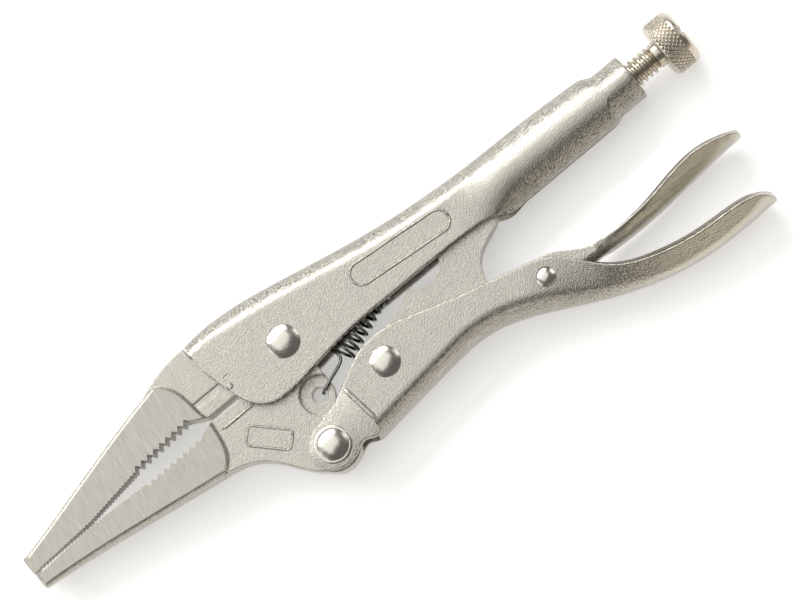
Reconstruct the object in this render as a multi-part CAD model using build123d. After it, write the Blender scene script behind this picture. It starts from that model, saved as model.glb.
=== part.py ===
from build123d import *
import math
import os

# Long-nose locking pliers lying on their side, jaws shut and lever locked.
# Sizes are in millimetres. While a piece is drawn, the origin is the main pivot at mid width,
# +X runs from the jaws to the adjusting screw, +Y towards the back of the fixed handle, +Z up.

# Stamped channels
CHANNEL_WIDTH = 8.4      # outside width of the fixed handle and of the lever
SHEET = 1.7              # their sheet thickness
BEND_RADIUS = 2.0        # outside radius of their bends
TAIL_RADIUS = 3.0        # outside radius where the tail closes to a tube
LIP_GAP = 0.7            # seam between the tail's two lips

# Play
PIN_PLAY = 0.05          # radial play of a rivet in the piece that turns on it
SIDE_PLAY = 0.2          # play each side between a wall and what moves inside it
HEAD_PLAY = 0.06         # play under the head of a rivet that turns with another piece
THREAD_PLAY = 0.05       # radial play of the screw in the barrel
TOGGLE_GAP = 1.8         # from the link's round end to the screw's tip, where the loop is open

# Pivots
JAW_RIVET = (-4.6, -18.6)
LINK_RIVET = (10.75, -13.5)
RELEASE_RIVET = (40.0, -19.9)
LINK_END = (42.4, -2.8)

# Rivets: shank radius, head radius, head height
MAIN_RIVET_SIZE = (2.0, 2.85, 0.9)
JAW_RIVET_SIZE = (1.8, 2.65, 0.84)
LINK_RIVET_SIZE = (1.8, 2.65, 0.84)
RELEASE_RIVET_SIZE = (1.1, 1.7, 0.7)

# Jaws
NOSE_LENGTH = 38.2       # from the end of the ground flat to the tip
NOSE_ROOT_X = -18.3      # where the ground flats end
NOSE_ROOT_WIDTH = 6.4
NOSE_TIP_WIDTH = 2.9
NOSE_EDGE_RADIUS = 0.8   # rounding of the nose's back
TIP_CORNER = 0.5         # rounding of the tip's outer corner, seen from the side
FLAT_BEVEL = 0.5         # bevel where a ground flat ends at the shank
NIP_GAP = 0.45           # between the tips with the jaws shut
COARSE_PITCH = 1.38
COARSE_COUNT = 9
COARSE_DEPTH = 0.8
FINE_PITCH = 0.68
FINE_DEPTH = 0.22
EYE_RADIUS = 4.8         # movable jaw round the main pivot
BOSS_RADIUS = 4.4        # movable jaw round its lower rivet
HOOK_HOLE = (-1.1, -10.4)
HOOK_HOLE_RADIUS = 1.3
HOOK_POCKET_RADIUS = 3.4
HOOK_WEB = 1.6           # thickness left between the two pockets

# Adjusting screw and its barrel
SCREW_Y = -2.8
SCREW_RADIUS = 2.4
THREAD_PITCH = 1.058
THREAD_DEPTH = 0.6
THREAD_END_X = 77.3
COLLAR_RADIUS = 2.6
KNOB_X = 78.4
KNOB_LENGTH = 5.2
KNOB_RADIUS = 5.1
KNOB_EDGE = 0.7
SLOT_WIDTH = 1.1
SLOT_DEPTH = 1.2
TAIL_START_X = 43.6      # where the lips begin
TAIL_END_X = 67.2
BARREL_LENGTH = 5.2

# Lever and release lever
EAR_RADIUS = 4.1         # lever round the jaw rivet
GRIP_LENGTH = 27.5       # lever from x = 50 to its tip
WEB_START_X = 1.9        # front edge of the lever's back
RELEASE_SHEET = 1.2
RELEASE_GRIP_WIDTH = 7.4
RELEASE_GRIP_LENGTH = 29.8   # from x = 50 to its tip
RELEASE_BEND_RADIUS = 1.5
RELEASE_FLARE_X = 49.0   # where it widens, clear of the lever's walls

# Tension spring
WIRE_RADIUS = 0.28
COIL_RADIUS = 2.0        # to the middle of the wire
COIL_PITCH = 1.42
COIL_TURNS = 12
COIL_START = (5.6, -7.4)
COIL_ANGLE = 19.8        # degrees from +X towards +Y
ANCHOR_HOLE = (28.6, 0.9)
ANCHOR_HOLE_RADIUS = 0.6
ANCHOR_TAB_WIDTH = 3.0
ANCHOR_TAB_THICKNESS = 1.2

INNER_HALF = CHANNEL_WIDTH / 2 - SHEET
MOVING_HALF = INNER_HALF - SIDE_PLAY
SHANK_HALF = INNER_HALF
SEAT_Z = CHANNEL_WIDTH / 2
TIP_X = NOSE_ROOT_X - NOSE_LENGTH
SCREW_TIP_X = LINK_END[0] + 1.9 + TOGGLE_GAP
LINK_END_RADIUS = 1.9


# Helpers

def slab(face, half):
    """A side view given an equal thickness on both sides of the mid plane."""
    flat = face.face()
    upward = flat if flat.normal_at().Z > 0 else -flat
    return extrude(upward, half, both=True)


def along_x(x, y, radius, length):
    """A cylinder along X that starts at x."""
    return Pos(x + length / 2, y, 0) * Rot(0, 90, 0) * Cylinder(radius, length)


def hole(centre, radius, half):
    return Pos(centre[0], centre[1], 0) * Cylinder(radius, 2 * half)


def rim_edges(shape, half, test):
    """Edges of a slab that lie on its two flat sides and pass a test on their middle."""
    def on_rim(edge):
        middle = edge.position_at(0.5)
        return abs(abs(middle.Z) - half) < 0.01 and test(middle)
    return shape.edges().filter_by(on_rim)


def shifted(points, dy):
    return [(x, y + dy) for x, y in points]


# Fixed handle

BACK_LINE = [
    (-13.4, 10.3), (-8.5, 10.7), (0, 9.9), (10, 7.85), (20, 5.8),
    (30, 4.3), (40, 3.5), (52, 3.2), (TAIL_END_X - 1.2, 2.35),
]
WALL_EDGE = [(-5, -7.1), (2, -6.4), (10, -5.55), (20, -5.5), (32, -5.65), (39, -6.2), (TAIL_START_X, -7.3)]
TAIL_BOTTOM_Y = -7.6
TAIL_BOTTOM = [(TAIL_START_X, -7.3), (TAIL_START_X + 3, TAIL_BOTTOM_Y), (TAIL_END_X - 1.2, TAIL_BOTTOM_Y)]
TAIL_INNER_Y = TAIL_BOTTOM_Y + SHEET


def handle_outline():
    """Side view of the fixed handle: front edge, curved back, tail and the walls' lower edge."""
    front = Polyline((-13.4, 10.3), (-13.4, 5))
    chin = Spline([(-13.4, 5), (-12.2, 0), (-10.6, -4.3), (-8, -6.6), (-5, -7.1)])
    edge = Spline(WALL_EDGE)
    bottom = Polyline(TAIL_BOTTOM)
    low_corner = ThreePointArc(TAIL_BOTTOM[-1], (TAIL_END_X - 0.35, -7.1), (TAIL_END_X, -6.3))
    end = Line((TAIL_END_X, -6.3), (TAIL_END_X, 1.15))
    top_corner = ThreePointArc((TAIL_END_X, 1.15), (TAIL_END_X - 0.35, 2.0), BACK_LINE[-1])
    back = Spline(BACK_LINE)
    return make_face(front + chin + edge + bottom + low_corner + end + top_corner + back)


def handle_cavity():
    """The channel's inside: open at the front and below, closed by the lips in the tail."""
    inner = shifted([(-20, BACK_LINE[0][1] - 1.2)] + BACK_LINE, -SHEET)
    roof = Spline(inner)
    rest = Polyline(
        inner[-1], (inner[-1][0], TAIL_INNER_Y), (TAIL_START_X, TAIL_INNER_Y),
        (TAIL_START_X, -12), (-20, -12), inner[0],
    )
    return make_face(roof + rest)


def rounded_tail_space():
    """Everything ahead of the lips, and behind them a block with the tail's lower corners round."""
    ahead = Pos(TAIL_START_X - 50, 0, 0) * Box(100, 60, 2 * CHANNEL_WIDTH)
    low = TAIL_BOTTOM_Y
    section = Pos(0, low + 15, 0) * Rectangle(CHANNEL_WIDTH, 30)
    section = fillet(section.vertices().filter_by(lambda v: v.Y < low + 1), TAIL_RADIUS)
    behind = Pos(TAIL_START_X, 0, 0) * extrude(Rot(0, 90, 0) * section, 40)
    return ahead + behind


def crimp_bump(side):
    """The handle's wall pressed into the groove of the fixed jaw."""
    ball_radius = 1.2
    ball = Pos(-11.5, 0, side * (SEAT_Z - ball_radius + 0.25)) * Sphere(ball_radius)
    slice_box = Pos(-11.5, 0, side * SEAT_Z) * Box(3, 3, SHEET)
    return ball & slice_box


def anchor_tab():
    """Tab lanced down from the handle's back, with the hole for the spring's hook."""
    top = 3.4
    bottom = ANCHOR_HOLE[1] - 1.6
    height = top - bottom
    plate = Pos(ANCHOR_HOLE[0], bottom + height / 2, 0) * Box(
        ANCHOR_TAB_WIDTH, height, ANCHOR_TAB_THICKNESS
    )
    return plate - hole(ANCHOR_HOLE, ANCHOR_HOLE_RADIUS, ANCHOR_TAB_THICKNESS)


def make_frame_shell():
    blank = slab(handle_outline(), CHANNEL_WIDTH / 2)
    back_edges = rim_edges(blank, CHANNEL_WIDTH / 2, lambda p: p.Y > 3.3 and 0 < p.X < 60)
    blank = fillet(back_edges, BEND_RADIUS)
    blank = blank & rounded_tail_space()
    cavity = slab(handle_cavity(), INNER_HALF)
    roof_edges = rim_edges(cavity, INNER_HALF, lambda p: p.Y > 1 and 0 < p.X < 60)
    cavity = fillet(roof_edges, BEND_RADIUS - 1.3)
    seam = Pos((TAIL_START_X + TAIL_END_X) / 2, -7.5, 0) * Box(TAIL_END_X - TAIL_START_X, 4, LIP_GAP)
    barrel = along_x(TAIL_END_X - 2, SCREW_Y, CHANNEL_WIDTH / 2, BARREL_LENGTH + 2)
    bore = along_x(TAIL_END_X - 3, SCREW_Y, SCREW_RADIUS + THREAD_PLAY, BARREL_LENGTH + 4)
    shell = blank - cavity - seam + barrel - bore
    shell += anchor_tab() + crimp_bump(1) + crimp_bump(-1)
    return shell - hole((0, 0), MAIN_RIVET_SIZE[0], CHANNEL_WIDTH)


# Jaws

def nip_line(side):
    """Gripping edge from the root to the tip: coarse teeth, then fine ones.

    side is +1 for the fixed jaw and -1 for the movable jaw.
    """
    middle = [(-20.4, -1.55), (-32.2, -1.9), (-44, -2.4), (TIP_X, -2.85)]
    opening = [1.65, 1.35, NIP_GAP / 2, NIP_GAP / 2]

    def level(x):
        for near, far, a, b in zip(middle, middle[1:], opening, opening[1:]):
            if x >= far[0] - 1e-6:
                share = (near[0] - x) / (near[0] - far[0])
                return near[1] + share * (far[1] - near[1]) + side * (a + share * (b - a))
        return None

    points = []
    for i in range(COARSE_COUNT):
        crest = -20.4 - i * COARSE_PITCH
        root = crest - COARSE_PITCH / 2
        points.append((crest, level(crest)))
        points.append((root, level(root) + side * COARSE_DEPTH))
    start = -20.4 - COARSE_COUNT * COARSE_PITCH
    count = int((start - TIP_X - 0.6) / FINE_PITCH)
    for i in range(count):
        crest = start - i * FINE_PITCH
        root = crest - FINE_PITCH / 2
        points.append((crest, level(crest)))
        points.append((root, level(root) + side * FINE_DEPTH))
    last = start - count * FINE_PITCH
    points.append((last, level(last)))
    points.append((TIP_X, level(TIP_X)))
    return points


def nose_flats():
    """Space between the ground flats of both noses: wide at the root, narrow at the tip."""
    slope = (NOSE_ROOT_WIDTH - NOSE_TIP_WIDTH) / 2 / NOSE_LENGTH
    wide = NOSE_ROOT_WIDTH / 2 + 3 * slope
    narrow = NOSE_TIP_WIDTH / 2 - slope
    near, far = NOSE_ROOT_X + 3, TIP_X - 1
    plan = Polyline((near, wide), (far, narrow), (far, -narrow), (near, -wide), (near, wide))
    return Rot(90, 0, 0) * slab(make_face(plan), 30)


def nose(side, back_points, end_points):
    """One nose: teeth on the nip, curved back, and ground flats that end in an arc."""
    teeth = nip_line(side)
    corner_x, corner_y = back_points[0]
    tip = Line(teeth[-1], (TIP_X, corner_y - side * TIP_CORNER))
    bulge = TIP_CORNER * (1 - math.sqrt(0.5))
    corner = ThreePointArc(
        (TIP_X, corner_y - side * TIP_CORNER), (TIP_X + bulge, corner_y - side * bulge), (corner_x, corner_y)
    )
    back = Spline(back_points)
    end = Spline([back_points[-1]] + end_points)
    throat = Line(end_points[-1], teeth[0])
    face = make_face(Polyline(teeth) + tip + corner + back + end + throat)
    half = NOSE_ROOT_WIDTH / 2
    body = slab(face, half)
    end_edges = rim_edges(body, half, lambda p: p.X > NOSE_ROOT_X - 1 and abs(p.Y + 2) > 2)
    body = chamfer(end_edges, FLAT_BEVEL) & nose_flats()
    return fillet(body.edges().filter_by(lambda e: e.length > NOSE_LENGTH / 2), NOSE_EDGE_RADIUS)


def make_fixed_jaw():
    root = NOSE_ROOT_X
    back = [
        (TIP_X + TIP_CORNER, 0.5), (root - 26.7, 3.2), (root - 16.7, 5.7),
        (root - 6.7, 7.95), (root - 4, 8.45),
    ]
    body = nose(1, back, [(root - 1.4, 6.6), (root - 0.4, 4.2), (root, 1), (root + 0.4, -1.2)])
    upper = Spline([(-24, 8.0), (-21, 9.1), (-17.5, 9.9), (-13.7, 10.1)])
    shoulder_y = BACK_LINE[0][1] - SHEET
    seat = Polyline((-13.7, 10.1), (-13.7, shoulder_y), (-4.2, shoulder_y - 0.15), (-4.2, 3.4))
    eye_gap = EYE_RADIUS + 0.5
    start = (-4.2, math.sqrt(eye_gap ** 2 - 4.2 ** 2))
    stop_y = -1.45
    stop = (-math.sqrt(eye_gap ** 2 - stop_y ** 2), stop_y)
    arc = ThreePointArc(start, (-eye_gap * math.cos(0.25), eye_gap * math.sin(0.25)), stop)
    under = Polyline(stop, (-17.6, stop_y), (-20.4, 0.1), (-24, 1.5), (-24, 8.0))
    link = Line((-4.2, 3.4), start)
    shank = slab(make_face(upper + seat + link + arc + under), SHANK_HALF)
    top_edges = rim_edges(shank, SHANK_HALF, lambda p: p.Y > shoulder_y - 0.5 and p.X > -13)
    shank = chamfer(top_edges, 0.9)
    groove = Pos(-12, 1.35, 0) * Box(14, 1.1, 2 * CHANNEL_WIDTH)
    core = Pos(-12, 1.35, 0) * Box(16, 3, 2 * (SHANK_HALF - 0.35))
    return body + (shank - (groove - core))


def make_movable_jaw():
    root = NOSE_ROOT_X
    back = [
        (TIP_X + TIP_CORNER, -5.75), (root - 26.7, -7.0), (root - 16.7, -8.55),
        (root - 8.2, -9.9), (root - 3.7, -10.6),
    ]
    end = [(root - 0.7, -8.2), (root + 0.2, -5), (root + 0.5, -2.4)]
    body = nose(-1, back, end)
    boss = slab(Pos(*JAW_RIVET) * Circle(BOSS_RADIUS), MOVING_HALF)
    eye = slab(Circle(EYE_RADIUS), MOVING_HALF)
    top = Polyline((-23, -3.9), (-20, -3.6), (-17.6, -2.3), (-3, -2.3), (1.65, -4), (1.65, -9.6))
    hook_side = ThreePointArc((1.65, -9.6), (1.35, -11.3), (0.2, -12.9))
    right = Line((0.2, -12.9), (JAW_RIVET[0] + BOSS_RADIUS * math.cos(0.5), JAW_RIVET[1] + 2.1))
    across = Line(right @ 1, (JAW_RIVET[0] - BOSS_RADIUS * math.cos(0.6), JAW_RIVET[1] - 2.5))
    arm = Spline([across @ 1, (-11.6, -17.4), (-14, -14.2), (-17, -11.9), (-20, -10.9), (-23, -10.3)])
    front = Line((-23, -10.3), (-23, -3.9))
    plate = slab(make_face(top + hook_side + right + across + arm + front), MOVING_HALF)
    jaw = body + plate + boss + eye
    depth = MOVING_HALF - HOOK_WEB / 2
    for sign in (1, -1):
        pocket = Pos(*HOOK_HOLE, sign * (HOOK_WEB / 2 + depth)) * Cylinder(HOOK_POCKET_RADIUS, 2 * depth)
        jaw -= pocket
    jaw -= hole(HOOK_HOLE, HOOK_HOLE_RADIUS, MOVING_HALF)
    jaw -= hole((0, 0), MAIN_RIVET_SIZE[0] + PIN_PLAY, MOVING_HALF)
    return jaw - hole(JAW_RIVET, JAW_RIVET_SIZE[0], MOVING_HALF)


# Lever, link and release lever

def lever_back_line():
    tip = 50 + GRIP_LENGTH
    return [
        (WEB_START_X + 0.1, -22.5), (10, -21.6), (20, -20.65), (24, -20.45), (29, -21.1), (34, -22.9),
        (42, -27.0), (50, -30.7), (50 + 0.36 * GRIP_LENGTH, -33.6), (50 + 0.65 * GRIP_LENGTH, -34.4),
        (tip, -34.3),
    ]


def lever_outline():
    """Side view of the lever: ear, hump over the link rivet, S-bend and grip."""
    x, y = JAW_RIVET
    ear_top = (x, y + EAR_RADIUS)
    ear_foot = (x + 0.4, y - EAR_RADIUS * 0.995)
    ear = ThreePointArc(ear_top, (x - EAR_RADIUS, y), ear_foot)
    tip = 50 + GRIP_LENGTH
    notch = Spline([ear_foot, (-2, -22.0), (0, -21.3), (1.2, -21.7), (WEB_START_X + 0.1, -22.5)])
    back = Spline(lever_back_line())
    end = Line((tip, -34.3), (tip, -33.9))
    grip = Spline([
        (tip, -33.9), (tip - 3, -31.9), (tip - 7.5, -31.1), (50 + 0.5 * GRIP_LENGTH, -30.6),
        (50 + 0.22 * GRIP_LENGTH, -28.8), (50, -25.7), (46, -21.3), (42, -17.4), (38, -15.9),
        (30, -13.8), (20, -10.7), (16, -9.4), (12.5, -8.9), (8.5, -9.35), (3.5, -11.6), (-0.5, -13.5),
        ear_top,
    ])
    return make_face(ear + notch + back + end + grip)


def lever_cavity():
    """The lever's inside: open above and at the front, where the ears straddle the jaw."""
    floor_points = shifted(lever_back_line(), SHEET)
    floor_points[0] = (WEB_START_X, floor_points[0][1])
    tip = 50 + GRIP_LENGTH
    floor = Spline(floor_points)
    rest = Polyline(
        floor_points[-1], (tip + 5, floor_points[-1][1]), (tip + 5, 0), (-15, 0), (-15, -30),
        (WEB_START_X, -30), floor_points[0],
    )
    return make_face(floor + rest)


def make_lever():
    half = CHANNEL_WIDTH / 2
    blank = slab(lever_outline(), half)
    back_edges = rim_edges(blank, half, lambda p: p.X > 20 and p.Y < -27.5)
    blank = fillet(back_edges, BEND_RADIUS)
    cavity = slab(lever_cavity(), INNER_HALF)
    lever = blank - cavity
    lever -= hole(JAW_RIVET, JAW_RIVET_SIZE[0] + PIN_PLAY, half)
    lever -= hole(LINK_RIVET, LINK_RIVET_SIZE[0], half)
    return lever - hole(RELEASE_RIVET, RELEASE_RIVET_SIZE[0], half)


def make_toggle_link():
    """Flat link from the lever to the screw's tip, notched to clear spring and handle."""
    cx, cy = LINK_RIVET
    ex, ey = LINK_END
    boss = 3.6
    upper = Polyline((cx - 1.6, cy + 3.2), (15, -8.9), (21.5, -6.45))
    notch = ThreePointArc((21.5, -6.45), (24.8, -8.1), (28.3, -5.95))
    top = Polyline((28.3, -5.95), (31, -3.1), (ex - 1.2, ey + 1.45))
    nose_arc = ThreePointArc(
        (ex - 1.2, ey + 1.45), (ex + LINK_END_RADIUS, ey), (ex - 0.6, ey - 1.8)
    )
    throat = Spline([(ex - 0.6, ey - 1.8), (ex - 1.9, -6.6), (36, -8.7), (33.2, -10.8), (32.3, -13), (31.6, -15.4)])
    bottom = Polyline((31.6, -15.4), (26, -16.4), (cx + 0.6, cy - boss + 0.05))
    heel = ThreePointArc((cx + 0.6, cy - boss + 0.05), (cx - boss, cy), (cx - 1.6, cy + 3.2))
    link = slab(make_face(upper + notch + top + nose_arc + throat + bottom + heel), MOVING_HALF)
    return link - hole(LINK_RIVET, LINK_RIVET_SIZE[0] + PIN_PLAY, MOVING_HALF)


def release_outline():
    tip = 50 + RELEASE_GRIP_LENGTH
    top = Spline([
        (35.2, -16.6), (38, -16.2), (41, -16.4), (44, -17.5), (47, -19.5), (50, -20.7), (56, -21.3),
        (62, -20.9), (50 + 0.67 * RELEASE_GRIP_LENGTH, -19.75), (tip - 5.5, -20.0), (tip, -21.9),
    ])
    end = Line((tip, -21.9), (tip, -22.3))
    bottom = Spline(release_bottom_line())
    nose_arc = ThreePointArc(release_bottom_line()[-1], (34.2, -17.9), (35.2, -16.6))
    return make_face(top + end + bottom + nose_arc)


def release_bottom_line():
    tip = 50 + RELEASE_GRIP_LENGTH
    return [
        (tip, -22.3), (50 + 0.7 * RELEASE_GRIP_LENGTH, -22.85), (62, -23.5), (55, -23.45),
        (49, -22.9), (44, -22.5), (39, -21.8), (35.2, -19.4),
    ]


def make_release_lever():
    """Narrow channel between the lever's walls that flares out to a finger grip."""
    narrow = MOVING_HALF
    wide = RELEASE_GRIP_WIDTH / 2
    tip = 50 + RELEASE_GRIP_LENGTH
    blank = slab(release_outline(), wide)
    bottom_edges = rim_edges(blank, wide, lambda p: p.Y < -22.4 and 40 < p.X < 60)
    blank = fillet(bottom_edges, RELEASE_BEND_RADIUS)
    flare = 2.4
    plan = make_face(Polyline(
        (30, narrow), (RELEASE_FLARE_X, narrow), (RELEASE_FLARE_X + flare, wide), (tip + 1, wide),
        (tip + 1, -wide), (RELEASE_FLARE_X + flare, -wide), (RELEASE_FLARE_X, -narrow), (30, -narrow),
        (30, narrow),
    ))
    inner_plan = make_face(Polyline(
        (30, narrow - RELEASE_SHEET), (RELEASE_FLARE_X, narrow - RELEASE_SHEET),
        (RELEASE_FLARE_X + flare, wide - RELEASE_SHEET), (tip + 1, wide - RELEASE_SHEET),
        (tip + 1, -wide + RELEASE_SHEET), (RELEASE_FLARE_X + flare, -wide + RELEASE_SHEET),
        (RELEASE_FLARE_X, -narrow + RELEASE_SHEET), (30, -narrow + RELEASE_SHEET),
        (30, narrow - RELEASE_SHEET),
    ))
    floor_points = shifted(release_bottom_line(), RELEASE_SHEET)
    floor = Spline(floor_points)
    above = Polyline(floor_points[-1], (30, floor_points[-1][1]), (30, 0), (tip + 1, 0),
                     (tip + 1, floor_points[0][1]), floor_points[0])
    outer_plan = Rot(90, 0, 0) * slab(plan, 40)
    cavity = slab(make_face(floor + above), wide) & (Rot(90, 0, 0) * slab(inner_plan, 40))
    lever = (blank & outer_plan) - cavity
    return lever - hole(RELEASE_RIVET, RELEASE_RIVET_SIZE[0] + PIN_PLAY, wide)


# Adjusting screw

def make_adjusting_screw():
    """Threaded rod, collar and round knob with a driver slot, all one turned piece."""
    root = SCREW_RADIUS - THREAD_DEPTH
    count = int((THREAD_END_X - SCREW_TIP_X) / THREAD_PITCH)
    first = THREAD_END_X - count * THREAD_PITCH
    profile = [(SCREW_TIP_X, 0), (SCREW_TIP_X, root - 0.4), (SCREW_TIP_X + 0.3, root)]
    for i in range(count):
        x = first + i * THREAD_PITCH
        profile.append((x + 0.08, root))
        profile.append((x + 0.46, SCREW_RADIUS))
        profile.append((x + 0.60, SCREW_RADIUS))
        profile.append((x + 0.98, root))
    profile += [
        (THREAD_END_X, root), (THREAD_END_X + 0.1, COLLAR_RADIUS), (KNOB_X, COLLAR_RADIUS),
        (KNOB_X, KNOB_RADIUS - KNOB_EDGE), (KNOB_X + KNOB_EDGE * 0.3, KNOB_RADIUS - KNOB_EDGE * 0.3),
        (KNOB_X + KNOB_EDGE, KNOB_RADIUS), (KNOB_X + KNOB_LENGTH - KNOB_EDGE, KNOB_RADIUS),
        (KNOB_X + KNOB_LENGTH - KNOB_EDGE * 0.3, KNOB_RADIUS - KNOB_EDGE * 0.3),
        (KNOB_X + KNOB_LENGTH, KNOB_RADIUS - KNOB_EDGE), (KNOB_X + KNOB_LENGTH, 0), (SCREW_TIP_X, 0),
    ]
    rod = revolve(make_face(Polyline(profile)), Axis.X)
    slot = Pos(KNOB_X + KNOB_LENGTH, 0, 0) * Box(2 * SLOT_DEPTH, SLOT_WIDTH, 3 * KNOB_RADIUS)
    return Pos(0, SCREW_Y, 0) * (rod - slot)


# Tension spring

def wire(path):
    """Round wire along a path."""
    return sweep(Plane(path @ 0, z_dir=path % 0) * Circle(WIRE_RADIUS), path=path, is_frenet=True)


def coil_place():
    """The coil's axis runs up and back from the hook pocket, and the wire starts on the +Z side."""
    return Pos(COIL_START[0], COIL_START[1], 0) * Rot(0, 0, COIL_ANGLE) * Rot(180, 0, 0) * Rot(0, 90, 0)


def coil_turn(index):
    return coil_place() * Pos(0, 0, index * COIL_PITCH) * Helix(
        pitch=COIL_PITCH, height=COIL_PITCH, radius=COIL_RADIUS, lefthand=True
    )


def make_tension_spring():
    """Coil with a hook at each end, one piece of wire."""
    jaw_z = HOOK_WEB / 2 + WIRE_RADIUS + 0.1
    tab_z = ANCHOR_TAB_THICKNESS / 2 + WIRE_RADIUS + 0.1
    hook_x = HOOK_HOLE[0] + HOOK_HOLE_RADIUS - WIRE_RADIUS - 0.35
    turns = [coil_turn(i) for i in range(COIL_TURNS)]
    start = turns[0] @ 0
    corner = start - (turns[0] % 0) * 0.9
    finish = turns[-1] @ 1
    turn_back = finish + (turns[-1] % 1) * 0.9
    jaw_hook = FilletPolyline(
        (hook_x, HOOK_HOLE[1], -jaw_z), (hook_x, HOOK_HOLE[1], jaw_z), corner, start,
        radius=1.5 * WIRE_RADIUS,
    )
    tab_hook = FilletPolyline(
        finish, turn_back, (ANCHOR_HOLE[0], ANCHOR_HOLE[1], tab_z), (ANCHOR_HOLE[0], ANCHOR_HOLE[1], -tab_z),
        radius=1.5 * WIRE_RADIUS,
    )
    spring = wire(jaw_hook)
    for turn in turns:
        spring += wire(turn)
    return spring + wire(tab_hook)


# Rivets

def rivet(size, gap):
    """Rivet with a low dome at each end; gap is the play under each head."""
    shank, head, height = size
    seat = SEAT_Z + gap
    ball = (head ** 2 + height ** 2) / (2 * height)
    half_angle = math.asin(head / ball) / 2
    middle = (ball * math.sin(half_angle), seat + height - ball * (1 - math.cos(half_angle)))
    with_corner = Polyline((0, 0), (shank, 0), (shank, seat), (head, seat))
    dome = ThreePointArc((head, seat), middle, (0, seat + height))
    axis_line = Line((0, seat + height), (0, 0))
    upper = revolve(Plane.XZ * make_face(with_corner + dome + axis_line), Axis.Z)
    return upper + mirror(upper, Plane.XY)


def make_rivet(centre, size, gap):
    return Pos(centre[0], centre[1], 0) * rivet(size, gap)


def build():
    return {
        "frame_shell": make_frame_shell(),
        "fixed_jaw": make_fixed_jaw(),
        "movable_jaw": make_movable_jaw(),
        "lever": make_lever(),
        "toggle_link": make_toggle_link(),
        "release_lever": make_release_lever(),
        "adjusting_screw": make_adjusting_screw(),
        "tension_spring": make_tension_spring(),
        "main_rivet": make_rivet((0, 0), MAIN_RIVET_SIZE, 0),
        "jaw_rivet": make_rivet(JAW_RIVET, JAW_RIVET_SIZE, HEAD_PLAY),
        "link_rivet": make_rivet(LINK_RIVET, LINK_RIVET_SIZE, 0),
        "release_rivet": make_rivet(RELEASE_RIVET, RELEASE_RIVET_SIZE, 0),
    }


def main():
    os.makedirs("parts", exist_ok=True)
    pieces = build()
    whole = Compound(children=[Compound(children=list(p.solids())) for p in pieces.values()])
    box = whole.bounding_box()
    move = Pos(-(box.min.X + box.max.X) / 2, -(box.min.Y + box.max.Y) / 2, -box.min.Z)
    print("shift", move.position, "size", box.size)
    for name, piece in pieces.items():
        export_step(move * piece, "parts/" + name + ".step")


main()
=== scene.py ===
"""Long-nose locking pliers in nickel plated steel, lying on their side with the jaws shut."""
import math

import bmesh
import bpy
import numpy as np
from bpy.props import FloatProperty, FloatVectorProperty, PointerProperty
from mathutils import Matrix, Vector


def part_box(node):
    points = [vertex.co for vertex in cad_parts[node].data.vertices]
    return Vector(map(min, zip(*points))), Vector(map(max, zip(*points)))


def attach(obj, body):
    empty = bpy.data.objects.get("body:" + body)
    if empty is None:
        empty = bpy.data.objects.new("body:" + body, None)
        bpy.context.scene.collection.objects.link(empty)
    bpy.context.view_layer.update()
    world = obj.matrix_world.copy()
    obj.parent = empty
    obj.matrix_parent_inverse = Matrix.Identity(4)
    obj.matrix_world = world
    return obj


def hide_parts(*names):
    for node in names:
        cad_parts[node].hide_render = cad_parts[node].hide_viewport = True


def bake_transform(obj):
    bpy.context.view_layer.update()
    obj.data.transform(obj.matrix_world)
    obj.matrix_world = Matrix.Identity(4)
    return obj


bl_info = {
    "name": "Long-nose locking pliers",
    "version": (1, 0, 0),
    "blender": (4, 5, 0),
    "location": "3D View > Sidebar > Pliers",
    "description": "Surfaces and finishes for a pair of long-nose locking pliers",
    "category": "Object",
}

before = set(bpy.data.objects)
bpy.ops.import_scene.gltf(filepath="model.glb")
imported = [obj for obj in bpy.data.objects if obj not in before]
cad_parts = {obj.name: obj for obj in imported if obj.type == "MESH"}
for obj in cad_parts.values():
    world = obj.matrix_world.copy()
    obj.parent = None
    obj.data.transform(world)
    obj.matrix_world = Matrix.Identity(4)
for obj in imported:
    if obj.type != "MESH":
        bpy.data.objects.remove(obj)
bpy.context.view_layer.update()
RIVET_LOW, RIVET_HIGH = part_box("main_rivet")
PIVOT = (RIVET_LOW + RIVET_HIGH) / 2     # main pivot at mid width: the drawing's origin
MM = 0.001

# Places and lengths on the drawing are in mm from the main pivot, and angles are in radians

# Rivets: centre, shank radius, head radius, head height, gap under the head, body, and the radius
# of the collar round the head (0 for none)
JAW_RIVET = (-4.6, -18.6)
RIVETS = {
    "main_rivet": ((0, 0), 2.0, 2.85, 0.9, 0, "fixed_handle", 0),
    "jaw_rivet": (JAW_RIVET, 1.8, 2.65, 0.84, 0.06, "movable_jaw", 3.2),
    "link_rivet": ((10.75, -13.5), 1.8, 2.65, 0.84, 0, "lever", 0),
    "release_rivet": ((40.0, -19.9), 1.1, 1.7, 0.7, 0, "lever", 0),
}

# Stamped sheet: rounding of a cut edge, the grips' outward lean, and the release lever's own sheet
# and half widths at its pivot and at its grip
SHEET_EDGE = 0.22
GRIP_LEAN = math.radians(36)
RELEASE_SHEET = 1.2
RELEASE_NARROW = 2.3
RELEASE_WIDE = 3.7
EAR_RADIUS = 4.1

# Handle: where its barrel ends, the barrel's rounded rim, the crown across its tail, the tail's low
# line, the bends' radii at the front and below, and the gap between the lips
BARREL_END = 72.4
BARREL_EDGE = 0.3
TAIL_CROWN = math.radians(24)
TAIL_LOW = -7.6
FRONT_BEND = 2.4
LOW_BEND = 3.4
LIP_GAP = 0.35

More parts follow.
